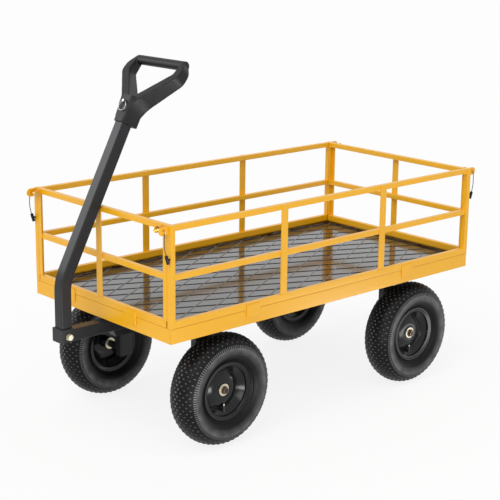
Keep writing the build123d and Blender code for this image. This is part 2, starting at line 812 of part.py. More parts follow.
def panel(name, face, span, tab_reaches):
    """Rails and tabs of one panel, drawn on its outer face; face looks outwards."""
    rail_levels = (
        (panel_top, rail, strap),
        (mid_rail_top, rail, strap),
        (bottom_rail_top, bottom_rail_height, 0),
    )
    with BuildPart() as rails:
        for top, height, inset in rail_levels:
            with BuildSketch(face.offset(-inset)):
                with Locations((0, top - height / 2)):
                    Rectangle(span, height)
            extrude(amount=-rail)
            with BuildSketch(face.offset(-inset - rail_wall)):
                with Locations((0, top - height / 2)):
                    Rectangle(span, height - 2 * rail_wall)
            extrude(amount=-(rail - 2 * rail_wall), mode=Mode.SUBTRACT)
    write(rails, f"{name}_panel_rails")

    with BuildPart() as tabs:
        with BuildSketch(face):
            for reach in tab_reaches:
                with Locations((reach, panel_seat + (tab_rise - tab_drop) / 2)):
                    Rectangle(tab_width, tab_rise + tab_drop)
        extrude(amount=tab_thickness)
    write(tabs, f"{name}_panel_tabs")


# Long panels: tube posts at the corners, each with a latch lug
for name, side in (("left", 1), ("right", -1)):
    face = Plane(origin=(bed_x, side * side_plane, 0), x_dir=(-side, 0, 0), z_dir=(0, side, 0))
    panel(name, face, bed_length - 2 * post, side_tab_reaches)
    with BuildPart() as side_posts:
        for end in (1, -1):
            post_x = bed_x + end * (bed_length - post) / 2
            with BuildSketch(Plane.XY.offset(panel_seat)):
                with Locations((post_x, side * (side_plane - post / 2))):
                    Rectangle(post, post)
            extrude(amount=panel_top - panel_seat)
            with BuildSketch(Plane.XY.offset(panel_seat)):
                with Locations((post_x, side * (side_plane - post / 2))):
                    Rectangle(post - 2 * post_wall, post - 2 * post_wall)
            extrude(amount=panel_top - panel_seat - post_wall, mode=Mode.SUBTRACT)
            lug_root = bed_x + end * bed_length / 2
            lug_z = panel_top - lug_height / 2
            lug_nose = lug_reach - lug_height / 2
            with BuildSketch(profile_plane(side * (side_plane - lug_inset - lug_thickness / 2))):
                with Locations((lug_root + end * lug_nose / 2, lug_z)):
                    Rectangle(lug_nose, lug_height)
                with Locations((lug_root + end * lug_nose, lug_z)):
                    Circle(lug_height / 2)
                with Locations((lug_root + end * pin_reach, lug_z)):
                    Circle(pin_radius + running_fit, mode=Mode.SUBTRACT)
            extrude(amount=lug_thickness / 2, both=True)
        with BuildSketch(face):
            for reach in side_strap_reaches:
                with Locations((reach, (bottom_rail_top + panel_top) / 2)):
                    Rectangle(strap_width, panel_top - bottom_rail_top)
        extrude(amount=-strap)
    write(side_posts, f"{name}_panel_posts")

# Short panels: angle posts at the corners, each with a keeper behind the latch pin
for name, end in (("front", 1), ("rear", -1)):
    face = Plane(origin=(bed_x + end * end_plane, 0, 0), x_dir=(0, end, 0), z_dir=(end, 0, 0))
    panel(name, face, 2 * (end_half_width - strap), end_tab_reaches)
    with BuildPart() as end_posts:
        for side in (1, -1):
            with BuildSketch(face):
                with Locations((side * (end_half_width - post / 2), (bottom_rail_top + panel_top) / 2)):
                    Rectangle(post, panel_top - bottom_rail_top)
            extrude(amount=-strap)
            with BuildSketch(face):
                with Locations((side * (end_half_width - strap / 2), (bottom_rail_top + panel_top) / 2)):
                    Rectangle(strap, panel_top - bottom_rail_top)
            extrude(amount=-post)
            with BuildSketch(face):
                keeper_y = side * (end_half_width - post + keeper_thickness / 2)
                with Locations((keeper_y, panel_top - lug_height / 2)):
                    Rectangle(keeper_thickness, keeper_height)
            extrude(amount=keeper_reach)
        with BuildSketch(face):
            for reach in end_strap_reaches:
                with Locations((reach, (bottom_rail_top + end_strap_top) / 2)):
                    Rectangle(strap_width, end_strap_top - bottom_rail_top)
        extrude(amount=-strap)
    write(end_posts, f"{name}_panel_posts")

# Corner pins: a disc head on the inboard side, the shank through the lug
pin_z = panel_top - lug_height / 2
lug_outer = side_plane - lug_inset
lug_inner = lug_outer - lug_thickness
for end_name, end in (("front", 1), ("rear", -1)):
    for side_name, side in (("left", 1), ("right", -1)):
        pin_x = bed_x + end * (bed_length / 2 + pin_reach)
        with BuildPart() as corner_pin:
            with BuildSketch(crosswise(pin_x, side * (lug_inner - pin_inboard), pin_z)):
                Circle(pin_radius)
            extrude(amount=side * (pin_inboard + lug_thickness + pin_outboard))
            with BuildSketch(crosswise(pin_x, side * (lug_inner - pin_inboard), pin_z)):
                Circle(pin_head_radius)
            extrude(amount=-side * pin_head)
        write(corner_pin, f"{end_name}_{side_name}_pin")

# Lanyards: from under the pin's tip to a ferrule on the corner post, points as outboard reach and drop
cord_y = lug_outer + pin_outboard - pin_radius
cord_points = (
    (pin_reach, pin_radius + face_gap),
    (pin_reach + 1.5, 19.0),
    (pin_reach + 2.0, 37.0),
    (pin_reach + 0.0, 53.0),
    (pin_reach - 4.2, 66.5),
)
cord_radii = []
for before, corner, after in zip(cord_points, cord_points[1:], cord_points[2:]):
    run_in = Vector(corner[0] - before[0], corner[1] - before[1])
    run_out = Vector(after[0] - corner[0], after[1] - corner[1])
    half_turn = radians(run_in.get_angle(run_out)) / 2
    cord_radii.append(0.45 * min(run_in.length, run_out.length) / tan(half_turn))
print("lanyard radii", [round(radius, 1) for radius in cord_radii])

(first_reach, first_drop), (second_reach, second_drop) = cord_points[:2]
(late_reach, late_drop), (last_reach, last_drop) = cord_points[-2:]
last_run = Vector(last_reach - late_reach, late_drop - last_drop).normalized()
for side_name, side in (("left", 1), ("right", -1)):
    with BuildPart() as ferrules:
        for end in (1, -1):
            corner_x = bed_x + end * bed_length / 2
            top = (corner_x + end * last_reach, side * cord_y, pin_z - last_drop)
            with BuildSketch(Plane(origin=top, z_dir=(end * last_run.X, 0, last_run.Y))):
                Circle(ferrule_radius)
            extrude(amount=ferrule_length)
            rivet_reach = last_reach + last_run.X * ferrule_length / 2
            rivet_z = top[2] + last_run.Y * ferrule_length / 2
            with BuildSketch(Plane(origin=(corner_x, side * cord_y, rivet_z), z_dir=(end, 0, 0))):
                Circle(ferrule_rivet_radius)
            extrude(amount=rivet_reach)
    write(ferrules, f"{side_name}_ferrules")

    for end_name, end in (("front", 1), ("rear", -1)):
        corner_x = bed_x + end * bed_length / 2
        with BuildPart() as lanyard:
            with BuildLine(profile_plane(side * cord_y)):
                FilletPolyline(
                    *[(corner_x + end * reach, pin_z - drop) for reach, drop in cord_points],
                    radius=cord_radii,
                )
            first_run = (end * (second_reach - first_reach), 0, first_drop - second_drop)
            top = (corner_x + end * first_reach, side * cord_y, pin_z - first_drop)
            with BuildSketch(Plane(origin=top, z_dir=first_run)):
                Circle(cord_radius)
            sweep()
        write(lanyard, f"{end_name}_{side_name}_lanyard")
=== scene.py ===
import json
import math

import bmesh
import bpy
from mathutils import Matrix, Vector

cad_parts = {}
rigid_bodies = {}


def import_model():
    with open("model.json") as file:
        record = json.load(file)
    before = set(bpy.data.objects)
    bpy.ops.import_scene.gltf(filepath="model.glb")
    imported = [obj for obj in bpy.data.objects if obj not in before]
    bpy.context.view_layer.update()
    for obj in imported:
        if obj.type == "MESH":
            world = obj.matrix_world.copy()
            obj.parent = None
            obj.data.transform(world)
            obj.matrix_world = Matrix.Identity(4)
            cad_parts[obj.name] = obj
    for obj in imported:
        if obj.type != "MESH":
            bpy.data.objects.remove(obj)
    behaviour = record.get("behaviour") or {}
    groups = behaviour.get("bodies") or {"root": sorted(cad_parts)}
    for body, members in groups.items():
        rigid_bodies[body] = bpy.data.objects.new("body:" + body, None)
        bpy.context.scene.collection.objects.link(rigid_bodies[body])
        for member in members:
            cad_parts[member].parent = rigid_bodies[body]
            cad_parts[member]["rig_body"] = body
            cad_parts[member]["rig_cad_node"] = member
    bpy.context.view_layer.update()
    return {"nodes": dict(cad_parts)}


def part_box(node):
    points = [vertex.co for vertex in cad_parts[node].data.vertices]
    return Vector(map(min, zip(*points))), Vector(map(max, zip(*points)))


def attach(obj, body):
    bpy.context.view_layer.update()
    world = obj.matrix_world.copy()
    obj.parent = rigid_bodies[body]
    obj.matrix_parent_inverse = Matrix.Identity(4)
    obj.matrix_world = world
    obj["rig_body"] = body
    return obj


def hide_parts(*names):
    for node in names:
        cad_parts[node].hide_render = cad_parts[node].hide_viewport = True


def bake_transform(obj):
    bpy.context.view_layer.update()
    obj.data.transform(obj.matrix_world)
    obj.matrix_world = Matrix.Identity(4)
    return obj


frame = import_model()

# Bed frame: four members folded from sheet steel, a skirt outside and a ledge for the deck inside.
# They are welded at the corners and powder coated yellow in one piece,
# so the folds are rounded and the film lies on them with a faint orange peel.


def linear(colour):
    """An sRGB hex colour as the linear values that a shader takes."""
    channels = [int(colour[at : at + 2], 16) / 255 for at in (1, 3, 5)]
    return [c / 12.92 if c <= 0.04045 else ((c + 0.055) / 1.055) ** 2.4 for c in channels] + [1.0]


def feed(tree, node, inputs):
    """Gives each named input of a node its value, or its link."""
    for socket, value in inputs.items():
        if isinstance(value, bpy.types.NodeSocket):
            tree.links.new(value, node.inputs[socket])
        else:
            node.inputs[socket].default_value = value


def add(tree, kind, inputs, **settings):
    """Adds a node with its settings, values and links."""
    node = tree.nodes.new("ShaderNode" + kind)
    for name, value in settings.items():
        setattr(node, name, value)
    feed(tree, node, inputs)
    return node


def surface(name):
    """A new material, with its node tree, its shader and its Object coordinates."""
    material = bpy.data.materials.new(name)
    material.use_nodes = True
    tree = material.node_tree
    place = add(tree, "TexCoord", {}).outputs["Object"]
    return material, tree, tree.nodes["Principled BSDF"], place


def picked(piece):
    """Makes a piece the only selected one, and the active one."""
    bpy.ops.object.select_all(action="DESELECT")
    piece.select_set(True)
    bpy.context.view_layer.objects.active = piece


def editing(piece):
    """Opens a piece's mesh with all of it selected."""
    picked(piece)
    bpy.ops.object.mode_set(mode="EDIT")
    bpy.ops.mesh.select_mode(type="VERT")
    bpy.ops.mesh.select_all(action="SELECT")


def smoothed(piece, degrees=35):
    """Back to object mode, shaded smooth up to that angle."""
    bpy.ops.object.mode_set(mode="OBJECT")
    picked(piece)
    bpy.ops.object.shade_smooth_by_angle(angle=math.radians(degrees))


weld_gap = 0.00001
flat_turn = math.radians(1)


def copied(node, name):
    """A loose copy of a CAD solid, its triangles merged into whole faces."""
    picked(frame["nodes"][node])
    bpy.ops.object.duplicate()
    piece = bpy.context.object
    piece.name = name
    del piece["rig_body"], piece["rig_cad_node"]
    bpy.ops.object.parent_clear(type="CLEAR_KEEP_TRANSFORM")
    bpy.ops.mesh.customdata_custom_splitnormals_clear()
    editing(piece)
    bpy.ops.mesh.remove_doubles(threshold=weld_gap)
    bpy.ops.mesh.dissolve_limited(angle_limit=flat_turn)
    return piece


def dressed(piece, node, material):
    """Gives a piece its finish, and its CAD solid's place and body."""
    if not piece.data.materials:
        piece.data.materials.append(material)
    piece.data.materials[0] = material
    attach(piece, frame["nodes"][node]["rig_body"])
    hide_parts(node)


sharp_turn = math.radians(40)


def rolled(piece, radius, shortest=0.0, segments=2):
    """Rolls over the sharp outer edges of an open mesh, those longer than the shortest."""
    bpy.ops.mesh.select_all(action="DESELECT")
    bpy.ops.mesh.select_mode(type="EDGE")
    shape = bmesh.from_edit_mesh(piece.data)
    for edge in shape.edges:
        sharp = edge.is_manifold and edge.is_convex and edge.calc_face_angle() > sharp_turn
        edge.select_set(sharp and edge.calc_length() > shortest)
    bmesh.update_edit_mesh(piece.data)
    bpy.ops.mesh.bevel(offset=radius, segments=segments, clamp_overlap=True)


def eased(node, name, material, radius, shortest=0.0):
    """A finished copy of a CAD solid, with its outer edges rolled over."""
    piece = copied(node, name)
    rolled(piece, radius, shortest)
    smoothed(piece)
    flatten = piece.modifiers.new("flat faces", "WEIGHTED_NORMAL")
    flatten.keep_sharp = True
    bpy.ops.object.modifier_apply(modifier=flatten.name)
    dressed(piece, node, material)


# Powder coat, a baked polyester film: full yellow, satin gloss, orange peel about 2 mm across.
# The film's thickness drifts over a hand's breadth, and its colour and gloss drift with it.
peel_mm = 2.0
drift_mm = 160.0
yellow_coat, tree, shader, place = surface("powder_coated_steel_yellow")
drift = add(tree, "TexNoise", {"Vector": place, "Scale": 1000 / drift_mm, "Detail": 3.0})
film = add(
    tree,
    "MixRGB",
    {"Fac": drift.outputs["Fac"], "Color1": linear("#F0AE06"), "Color2": linear("#F6B612")},
)
gloss = add(tree, "MapRange", {"Value": drift.outputs["Fac"], "To Min": 0.24, "To Max": 0.36})
peel = add(tree, "TexNoise", {"Vector": place, "Scale": 1000 / peel_mm, "Detail": 1.0})
relief = add(tree, "Bump", {"Height": peel.outputs["Fac"], "Strength": 0.2, "Distance": 0.0002})
feed(
    tree,
    shader,
    {
        "Base Color": film.outputs["Color"],
        "Roughness": gloss.outputs["Result"],
        "Normal": relief.outputs["Normal"],
        "IOR": 1.5,
    },
)
eased("bed_frame", "bed_skirt", yellow_coat, radius=0.0012, shortest=0.02)

# Deck: one steel sheet that lies on the ledges, dipped in gloss black.
# A roller has raised narrow ribs on it that cross as long diamonds, for grip underfoot.
# Their sides catch a dark line, and the flats between them mirror the room at a low angle.
deck_low, deck_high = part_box("deck_sheet")
deck_middle = (deck_low + deck_high) / 2
diamond_long = 0.119
diamond_wide = 0.0628
mesh_skew = 0.034  # the sheet was cut a little askew of the pattern
row_starts = {1: 0.573, -1: 0.803}  # share of a row, for each way the ribs run
deck_edge = 0.0006
rib_width = 0.0046
rib_top_share = 0.45  # of the width at the rib's foot
rib_height = 0.0017
rib_margin = 0.005
rib_spare = 1.35  # so that a rib crosses the sheet at its slant
rib_reach = (deck_high.x - deck_low.x) * rib_spare
rib_turn = math.atan2(diamond_wide, diamond_long)


def settled():
    """Puts the place, turn and size of the selected piece into its mesh."""
    bpy.ops.object.transform_apply(location=True, rotation=True, scale=True)


def joined(pieces, whole):
    """Joins pieces to the one that keeps its name."""
    picked(whole)
    for piece in pieces:
        piece.select_set(True)
    bpy.ops.object.join()


bpy.ops.object.select_all(action="DESELECT")
bpy.ops.mesh.primitive_cube_add(size=1, location=deck_middle, scale=deck_high - deck_low)
deck_plate = bpy.context.object
deck_plate.name = "deck_plate"
settled()
editing(deck_plate)
bpy.ops.mesh.bevel(offset=deck_edge, segments=2)
bpy.ops.object.mode_set(mode="OBJECT")

bpy.ops.object.select_all(action="DESELECT")
bpy.ops.mesh.primitive_cube_add(size=1, scale=(rib_reach, rib_width, rib_height))
rib = bpy.context.object
settled()
editing(rib)
bpy.ops.mesh.select_all(action="DESELECT")
shape = bmesh.from_edit_mesh(rib.data)
for vertex in shape.verts:
    vertex.select_set(vertex.co.z > 0)
shape.select_flush(True)
bmesh.update_edit_mesh(rib.data)
bpy.ops.transform.resize(value=(1, rib_top_share, 1), center_override=(0, 0, rib_height / 2))
bpy.ops.object.mode_set(mode="OBJECT")

ribs = []
rows = math.ceil((deck_high.y + rib_reach / 2 * diamond_wide / diamond_long) / diamond_wide)
for turn in (1, -1):
    for row in range(-rows, rows + 1):
        picked(rib)
        bpy.ops.object.duplicate()
        bar = bpy.context.object
        bar.rotation_euler.z = turn * rib_turn
        bar.location = (0, (row + row_starts[turn]) * diamond_wide, deck_high.z + rib_height / 2)
        settled()
        ribs.append(bar)
bpy.data.objects.remove(rib)
joined(ribs, ribs[0])
rib_net = bpy.context.object
rib_net.rotation_euler.z = mesh_skew
settled()
for axis in (0, 1):
    for side in (1, -1):
        trim = Vector((0, 0, 0))
        trim[axis] = (deck_high if side > 0 else deck_low)[axis] - side * rib_margin
        outward = Vector((0, 0, 0))
        outward[axis] = side
        editing(rib_net)
        bpy.ops.mesh.bisect(plane_co=trim, plane_no=outward, use_fill=True, clear_outer=True)
        bpy.ops.object.mode_set(mode="OBJECT")
joined([rib_net], deck_plate)
smoothed(deck_plate, degrees=20)

# Gloss black dip coat: a thick even film, so it is nearly a black mirror.
# It has slow waves about 40 mm long.
wave_mm = 40.0
deck_coat, tree, shader, place = surface("dip_coated_steel_gloss_black")
wave = add(tree, "TexNoise", {"Vector": place, "Scale": 1000 / wave_mm, "Detail": 3.0})
film = add(
    tree,
    "MixRGB",
    {"Fac": wave.outputs["Fac"], "Color1": linear("#141312"), "Color2": linear("#1E1C1A")},
)
gloss = add(tree, "MapRange", {"Value": wave.outputs["Fac"], "To Min": 0.08, "To Max": 0.16})
relief = add(tree, "Bump", {"Height": wave.outputs["Fac"], "Strength": 0.15, "Distance": 0.0004})
feed(
    tree,
    shader,
    {
        "Base Color": film.outputs["Color"],
        "Roughness": gloss.outputs["Result"],
        "Normal": relief.outputs["Normal"],
        "IOR": 1.5,
        "Coat Weight": 0.35,
        "Coat Roughness": 0.06,
    },
)
dressed(deck_plate, "deck_sheet", deck_coat)

# Underframe: three tubes across under the deck, and the steel plate that the front axle turns under.
# Both are welded to the bed and painted black with the running gear.

# Black paint on steel: satin charcoal with a fine grain, about 1 mm, that breaks up its highlights.
grain_mm = 1.2
patch_mm = 90.0
black_paint, tree, shader, place = surface("powder_coated_steel_black")
patch = add(tree, "TexNoise", {"Vector": place, "Scale": 1000 / patch_mm, "Detail": 3.0})
film = add(
    tree,
    "MixRGB",
    {"Fac": patch.outputs["Fac"], "Color1": linear("#1D1E20"), "Color2": linear("#292A2D")},
)
gloss = add(tree, "MapRange", {"Value": patch.outputs["Fac"], "To Min": 0.26, "To Max": 0.38})
grain = add(tree, "TexNoise", {"Vector": place, "Scale": 1000 / grain_mm, "Detail": 1.0})
relief = add(tree, "Bump", {"Height": grain.outputs["Fac"], "Strength": 0.25, "Distance": 0.0002})
feed(
    tree,
    shader,
    {
        "Base Color": film.outputs["Color"],
        "Roughness": gloss.outputs["Result"],
        "Normal": relief.outputs["Normal"],
        "IOR": 1.5,
        "Specular IOR Level": 0.25,
    },
)
eased("cross_members", "cross_tubes", black_paint, radius=0.0025, shortest=0.1)
eased("front_pivot_plate", "steering_plate", black_paint, radius=0.0012)

# Kingpin: a turned steel post, welded into the plate, that the front axle swings on.
# A flange nut under the beam holds the axle up. Both are zinc plated.

# Bright zinc plate with a warm passivated tint: a soft metal gleam.
# It is clouded in patches some 6 mm across.
cloud_mm = 6.0
zinc, tree, shader, place = surface("zinc_plated_steel")
cloud = add(tree, "TexNoise", {"Vector": place, "Scale": 1000 / cloud_mm, "Detail": 4.0})
metal = add(
    tree,
    "MixRGB",
    {"Fac": cloud.outputs["Fac"], "Color1": linear("#C9BFA6"), "Color2": linear("#E4DCC6")},
)
gloss = add(tree, "MapRange", {"Value": cloud.outputs["Fac"], "To Min": 0.24, "To Max": 0.44})
feed(
    tree,
    shader,
    {"Base Color": metal.outputs["Color"], "Roughness": gloss.outputs["Result"], "Metallic": 1.0},
)
eased("kingpin", "kingpin_post", zinc, radius=0.001)
eased("kingpin_nut", "kingpin_flange_nut", zinc, radius=0.0008)

# Axles: each a square tube beam with two tube legs welded to its ends, painted black.
# A turned stub, painted with the leg it is welded through, carries a wheel, with a lock nut on its thread.
# The rear beam is bolted up under the bed, the front one turns on the kingpin.

# Phosphated steel: dark brown-grey, oiled, with a crystal bloom about 2 mm across in its gloss.
crystal_mm = 2.0
phosphate, tree, shader, place = surface("phosphated_steel_brown")
crystal = add(tree, "TexNoise", {"Vector": place, "Scale": 1000 / crystal_mm, "Detail": 2.0})
metal = add(
    tree,
    "MixRGB",
    {"Fac": crystal.outputs["Fac"], "Color1": linear("#5E5145"), "Color2": linear("#7C6D5C")},
)
gloss = add(tree, "MapRange", {"Value": crystal.outputs["Fac"], "To Min": 0.26, "To Max": 0.42})
feed(
    tree,
    shader,
    {"Base Color": metal.outputs["Color"], "Roughness": gloss.outputs["Result"], "Metallic": 1.0},
)
for end in ("rear", "front"):
    eased(f"{end}_axle_beam", f"{end}_beam", black_paint, radius=0.003, shortest=0.1)
    eased(f"{end}_axle_legs", f"{end}_legs", black_paint, radius=0.0028, shortest=0.1)
    eased(f"{end}_stub_axles", f"{end}_stubs", black_paint, radius=0.0008)
    eased(f"{end}_axle_nuts", f"{end}_wheel_nuts", phosphate, radius=0.0007)
eased("rear_axle_bolts", "rear_beam_bolts", zinc, radius=0.0006)

# Tongue: a square tube welded to the front beam, with a folded brace under its root.
# Its rounded nose carries the handle's pivot. Painted black like the axle.
eased("tongue", "tongue_bar", black_paint, radius=0.0008)

# Tyres: moulded rubber on a fabric carcass, with staggered rows of small bars over the whole tread.
# A comb of ribs parts the tread from the smooth sidewall. Each tyre grips its rim by the two beads.
corners = [(end, side) for end in ("front", "rear") for side in ("left", "right")]
hubs = {}
for end, side in corners:
    low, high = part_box(f"{end}_{side}_tyre")
    hubs[end, side] = (low + high) / 2
model_hub = hubs["front", "left"]
tyre_steps = 500
# Rows of raised marks: least and greatest reach, marks in a turn, start and share in their pitch,
# draft and height
tread_rows = (
    (-0.001, 0.0040, 50, 0.0, 0.31, 0.0007, 0.0008),
    (0.0040, 0.0100, 50, 0.5, 0.31, 0.0007, 0.0009),
    (0.0140, 0.0200, 50, 0.0, 0.21, 0.0007, 0.0010),
    (0.0245, 0.0295, 50, 0.5, 0.21, 0.0007, 0.0012),
    (0.0330, 0.0370, 50, 0.0, 0.21, 0.0007, 0.0012),
    (0.0405, 0.0452, 50, 0.5, 0.21, 0.0007, 0.0012),
    (0.0486, 0.0518, 125, 0.0, 0.51, 0.0003, 0.0003),
)
# Half section of the tyre, from the crown down the outside and back up the cavity: reach, radius
tyre_half = (
    (0.0040, 0.1637),
    (0.0100, 0.1630),
    (0.0140, 0.1623),
    (0.0200, 0.1607),
    (0.0245, 0.1590),
    (0.0295, 0.1567),
    (0.0330, 0.1548),
    (0.0370, 0.1517),
    (0.0405, 0.1483),
    (0.0452, 0.1434),
    (0.0474, 0.1410),
    (0.0486, 0.1390),
    (0.0504, 0.1345),
    (0.0513, 0.1318),
    (0.0518, 0.1290),
    (0.0519, 0.1255),
    (0.0518, 0.1220),
    (0.0513, 0.1180),
    (0.0504, 0.1140),
    (0.0491, 0.1100),
    (0.0473, 0.1060),
    (0.0450, 0.1020),
    (0.0422, 0.0980),
    (0.0396, 0.0950),
    (0.0385, 0.0946),
    (0.0373, 0.0937),
    (0.0366, 0.0922),
    (0.0352, 0.0908),
    (0.0335, 0.0892),
    (0.0322, 0.0878),
    (0.0324, 0.0760),
    (0.0235, 0.0760),
    (0.0235, 0.0880),
    (0.0370, 0.0990),
    (0.0440, 0.1140),
    (0.0455, 0.1240),
    (0.0440, 0.1330),
    (0.0340, 0.1425),
    (0.0200, 0.1510),
)


join_gap = 0.000001
spin_gap = 0.000005
round_degrees = 32


def turned(name, outline, middle, axis, steps):
    """A closed outline of points, spun a full turn about an axis through a point."""
    bpy.ops.object.select_all(action="DESELECT")
    bpy.ops.mesh.primitive_plane_add(size=0.01, location=(0, 0, 0))
    piece = bpy.context.object
    piece.name = name
    editing(piece)
    bpy.ops.mesh.merge(type="CENTER")
    bpy.ops.transform.translate(value=outline[0])
    for before, after in zip(outline, outline[1:] + outline[:1]):
        bpy.ops.mesh.extrude_region_move(TRANSFORM_OT_translate={"value": after - before})
    bpy.ops.mesh.select_all(action="SELECT")
    bpy.ops.mesh.remove_doubles(threshold=join_gap)
    bpy.ops.mesh.spin(steps=steps, angle=math.tau, center=middle, axis=axis)
    bpy.ops.mesh.select_all(action="SELECT")
    bpy.ops.mesh.remove_doubles(threshold=spin_gap)
    bpy.ops.mesh.normals_make_consistent(inside=False)
    return piece


def on_wheel(outline):
    """An outline of (reach outboard, radius) as points above the front left wheel's hub."""
    return [model_hub + Vector((0, reach, radius)) for reach, radius in outline]


def inboard(outline):
    """The same outline on the wheel's other side."""
    return [(-reach, radius) for reach, radius in outline]


wheel_axis = (0, 1, 0)
tyre_outline = on_wheel(tyre_half) + on_wheel(inboard(reversed(tyre_half)))
tyre = turned("front_left_tyre_moulding", tyre_outline, model_hub, wheel_axis, tyre_steps)
bpy.ops.mesh.select_mode(type="FACE")
for near, far, marks, start, share, draft, height in tread_rows:
    bpy.ops.mesh.select_all(action="DESELECT")
    shape = bmesh.from_edit_mesh(tyre.data)
    for face in shape.faces:
        spot = face.calc_center_median() - model_hub
        turn = math.atan2(spot.x, spot.z) / math.tau * marks
        outside = face.normal.x * spot.x + face.normal.z * spot.z > 0
        face.select_set(outside and near < abs(spot.y) < far and (turn + start) % 1 < share)
    bmesh.update_edit_mesh(tyre.data)
    bpy.ops.mesh.inset(thickness=draft, depth=height)
    # The tops of the raised marks take the second material, the pale grey painted glints.
    shape = bmesh.from_edit_mesh(tyre.data)
    for face in shape.faces:
        if face.select:
            face.material_index = 1
    bmesh.update_edit_mesh(tyre.data)
smoothed(tyre, round_degrees)

# Moulded rubber, carbon black: dull where it is blocky, a soft sheen on the sidewalls.
# A painted sheen, pale grey mixed into the colour, lies on the shoulder below the comb and fades down the
# sidewall.
# A haze of about 30 mm patches lies over it all, and the mould leaves a fine grain.
sheen_start, sheen_end = 0.1310, 0.1060
sheen_band = tyre.data.attributes.new("painted_sheen", "FLOAT", "POINT")
for vertex in tyre.data.vertices:
    spot = vertex.co - model_hub
    radius = math.hypot(spot.x, spot.z)
    fade = (radius - sheen_end) / (sheen_start - sheen_end)
    sheen_band.data[vertex.index].value = fade if 0 < fade < 1 else 0.0
haze_mm = 30.0
mould_mm = 1.5
rubber, tree, shader, place = surface("moulded_rubber_black")
haze = add(tree, "TexNoise", {"Vector": place, "Scale": 1000 / haze_mm, "Detail": 4.0})
compound = add(
    tree,
    "MixRGB",
    {"Fac": haze.outputs["Fac"], "Color1": linear("#0B0B0C"), "Color2": linear("#151516")},
)
# The painted sheen: its band is mixed pale grey into the rubber's colour, made patchy by the haze.
sheen_mask = add(tree, "Attribute", {}, attribute_name="painted_sheen")
patchy_sheen = add(tree, "Math", {0: sheen_mask.outputs["Fac"], 1: haze.outputs["Fac"]}, operation="MULTIPLY")
rubber_with_sheen = add(
    tree,
    "MixRGB",
    {"Fac": patchy_sheen.outputs["Value"], "Color1": compound.outputs["Color"], "Color2": linear("#8C8C8E")},
)
gloss = add(tree, "MapRange", {"Value": haze.outputs["Fac"], "To Min": 0.34, "To Max": 0.46})
mould = add(tree, "TexNoise", {"Vector": place, "Scale": 1000 / mould_mm, "Detail": 2.0})
relief = add(tree, "Bump", {"Height": mould.outputs["Fac"], "Strength": 0.3, "Distance": 0.0003})
feed(
    tree,
    shader,
    {
        "Base Color": rubber_with_sheen.outputs["Color"],
        "Roughness": gloss.outputs["Result"],
        "Normal": relief.outputs["Normal"],
        "IOR": 1.52,
        "Specular IOR Level": 0.13,
    },
)

# Painted glints: the tops of bars and ribs are coloured pale grey in place of the highlights they catch.
# The pale grey comes and goes in patches of about 5 mm.
glint_patch_mm = 5.0
glint_rubber, tree, shader, place = surface("painted_glint_rubber_grey")
glint_patches = add(tree, "TexNoise", {"Vector": place, "Scale": 1000 / glint_patch_mm, "Detail": 3.0})
glint_tone = add(
    tree,
    "MixRGB",
    {"Fac": glint_patches.outputs["Fac"], "Color1": linear("#161617"), "Color2": linear("#78787A")},
)
feed(tree, shader, {"Base Color": glint_tone.outputs["Color"], "Roughness": 0.5, "IOR": 1.52})
tyre.data.materials.append(rubber)
tyre.data.materials.append(glint_rubber)

# Rims: two pressed steel halves, seam welded round a hub tube, enamelled gloss black.
# The flanges are rolled over, the barrel steps down to the well, and the disc is domed out to the hub.
rim_outline = on_wheel(
    (
        (0.0060, 0.0555),
        (-0.0116, 0.0555),
        (-0.0210, 0.0680),
        (-0.0252, 0.0735),
        (-0.0310, 0.0736),
        (-0.0325, 0.0746),
        (-0.0333, 0.0790),
        (-0.0342, 0.0830),
        (-0.0350, 0.0852),
        (-0.0348, 0.0863),
        (-0.0337, 0.0865),
        (-0.0326, 0.0850),
        (-0.0324, 0.0760),
        (-0.0215, 0.0759),
        (-0.0080, 0.0580),
        (0.0080, 0.0580),
        (0.0215, 0.0759),
        (0.0324, 0.0760),
        (0.0326, 0.0850),
        (0.0337, 0.0865),
        (0.0348, 0.0863),
        (0.0350, 0.0852),
        (0.0342, 0.0830),
        (0.0333, 0.0790),
        (0.0325, 0.0746),
        (0.0310, 0.0736),
        (0.0252, 0.0735),
        (0.0210, 0.0680),
        (0.0125, 0.0566),
        (0.0114, 0.0556),
        (0.0100, 0.0551),
        (0.0094, 0.0541),
        (0.0102, 0.0520),
        (0.0115, 0.0490),
        (0.0129, 0.0450),
        (0.0140, 0.0410),
        (0.0147, 0.0373),
        (0.0153, 0.0330),
        (0.0156, 0.0290),
        (0.0155, 0.0250),
        (0.0153, 0.0220),
        (0.0152, 0.0200),
        (0.0156, 0.0192),
        (0.0165, 0.0190),
        (0.0170, 0.0185),
        (0.0170, 0.0160),
        (-0.0170, 0.0160),
        (-0.0170, 0.0185),
        (-0.0165, 0.0190),
        (0.0125, 0.0190),
        (0.0130, 0.0250),
        (0.0131, 0.0290),
        (0.0128, 0.0330),
        (0.0122, 0.0373),
        (0.0104, 0.0450),
        (0.0077, 0.0520),
    )
)
rim_steps = 96
rim = turned("front_left_rim_pressing", rim_outline, model_hub, wheel_axis, rim_steps)
smoothed(rim, round_degrees)

# Stove enamel: deep gloss black, almost smooth.
# A little dust dulls its gloss in patches of about 15 mm.
dust_mm = 15.0
enamel, tree, shader, place = surface("stove_enamel_gloss_black")
dust = add(tree, "TexNoise", {"Vector": place, "Scale": 1000 / dust_mm, "Detail": 4.0})
film = add(
    tree,
    "MixRGB",
    {"Fac": dust.outputs["Fac"], "Color1": linear("#111214"), "Color2": linear("#1B1C1E")},
)
gloss = add(tree, "MapRange", {"Value": dust.outputs["Fac"], "To Min": 0.10, "To Max": 0.22})
feed(
    tree,
    shader,
    {
        "Base Color": film.outputs["Color"],
        "Roughness": gloss.outputs["Result"],
        "IOR": 1.52,
        "Specular IOR Level": 0.24,
    },
)

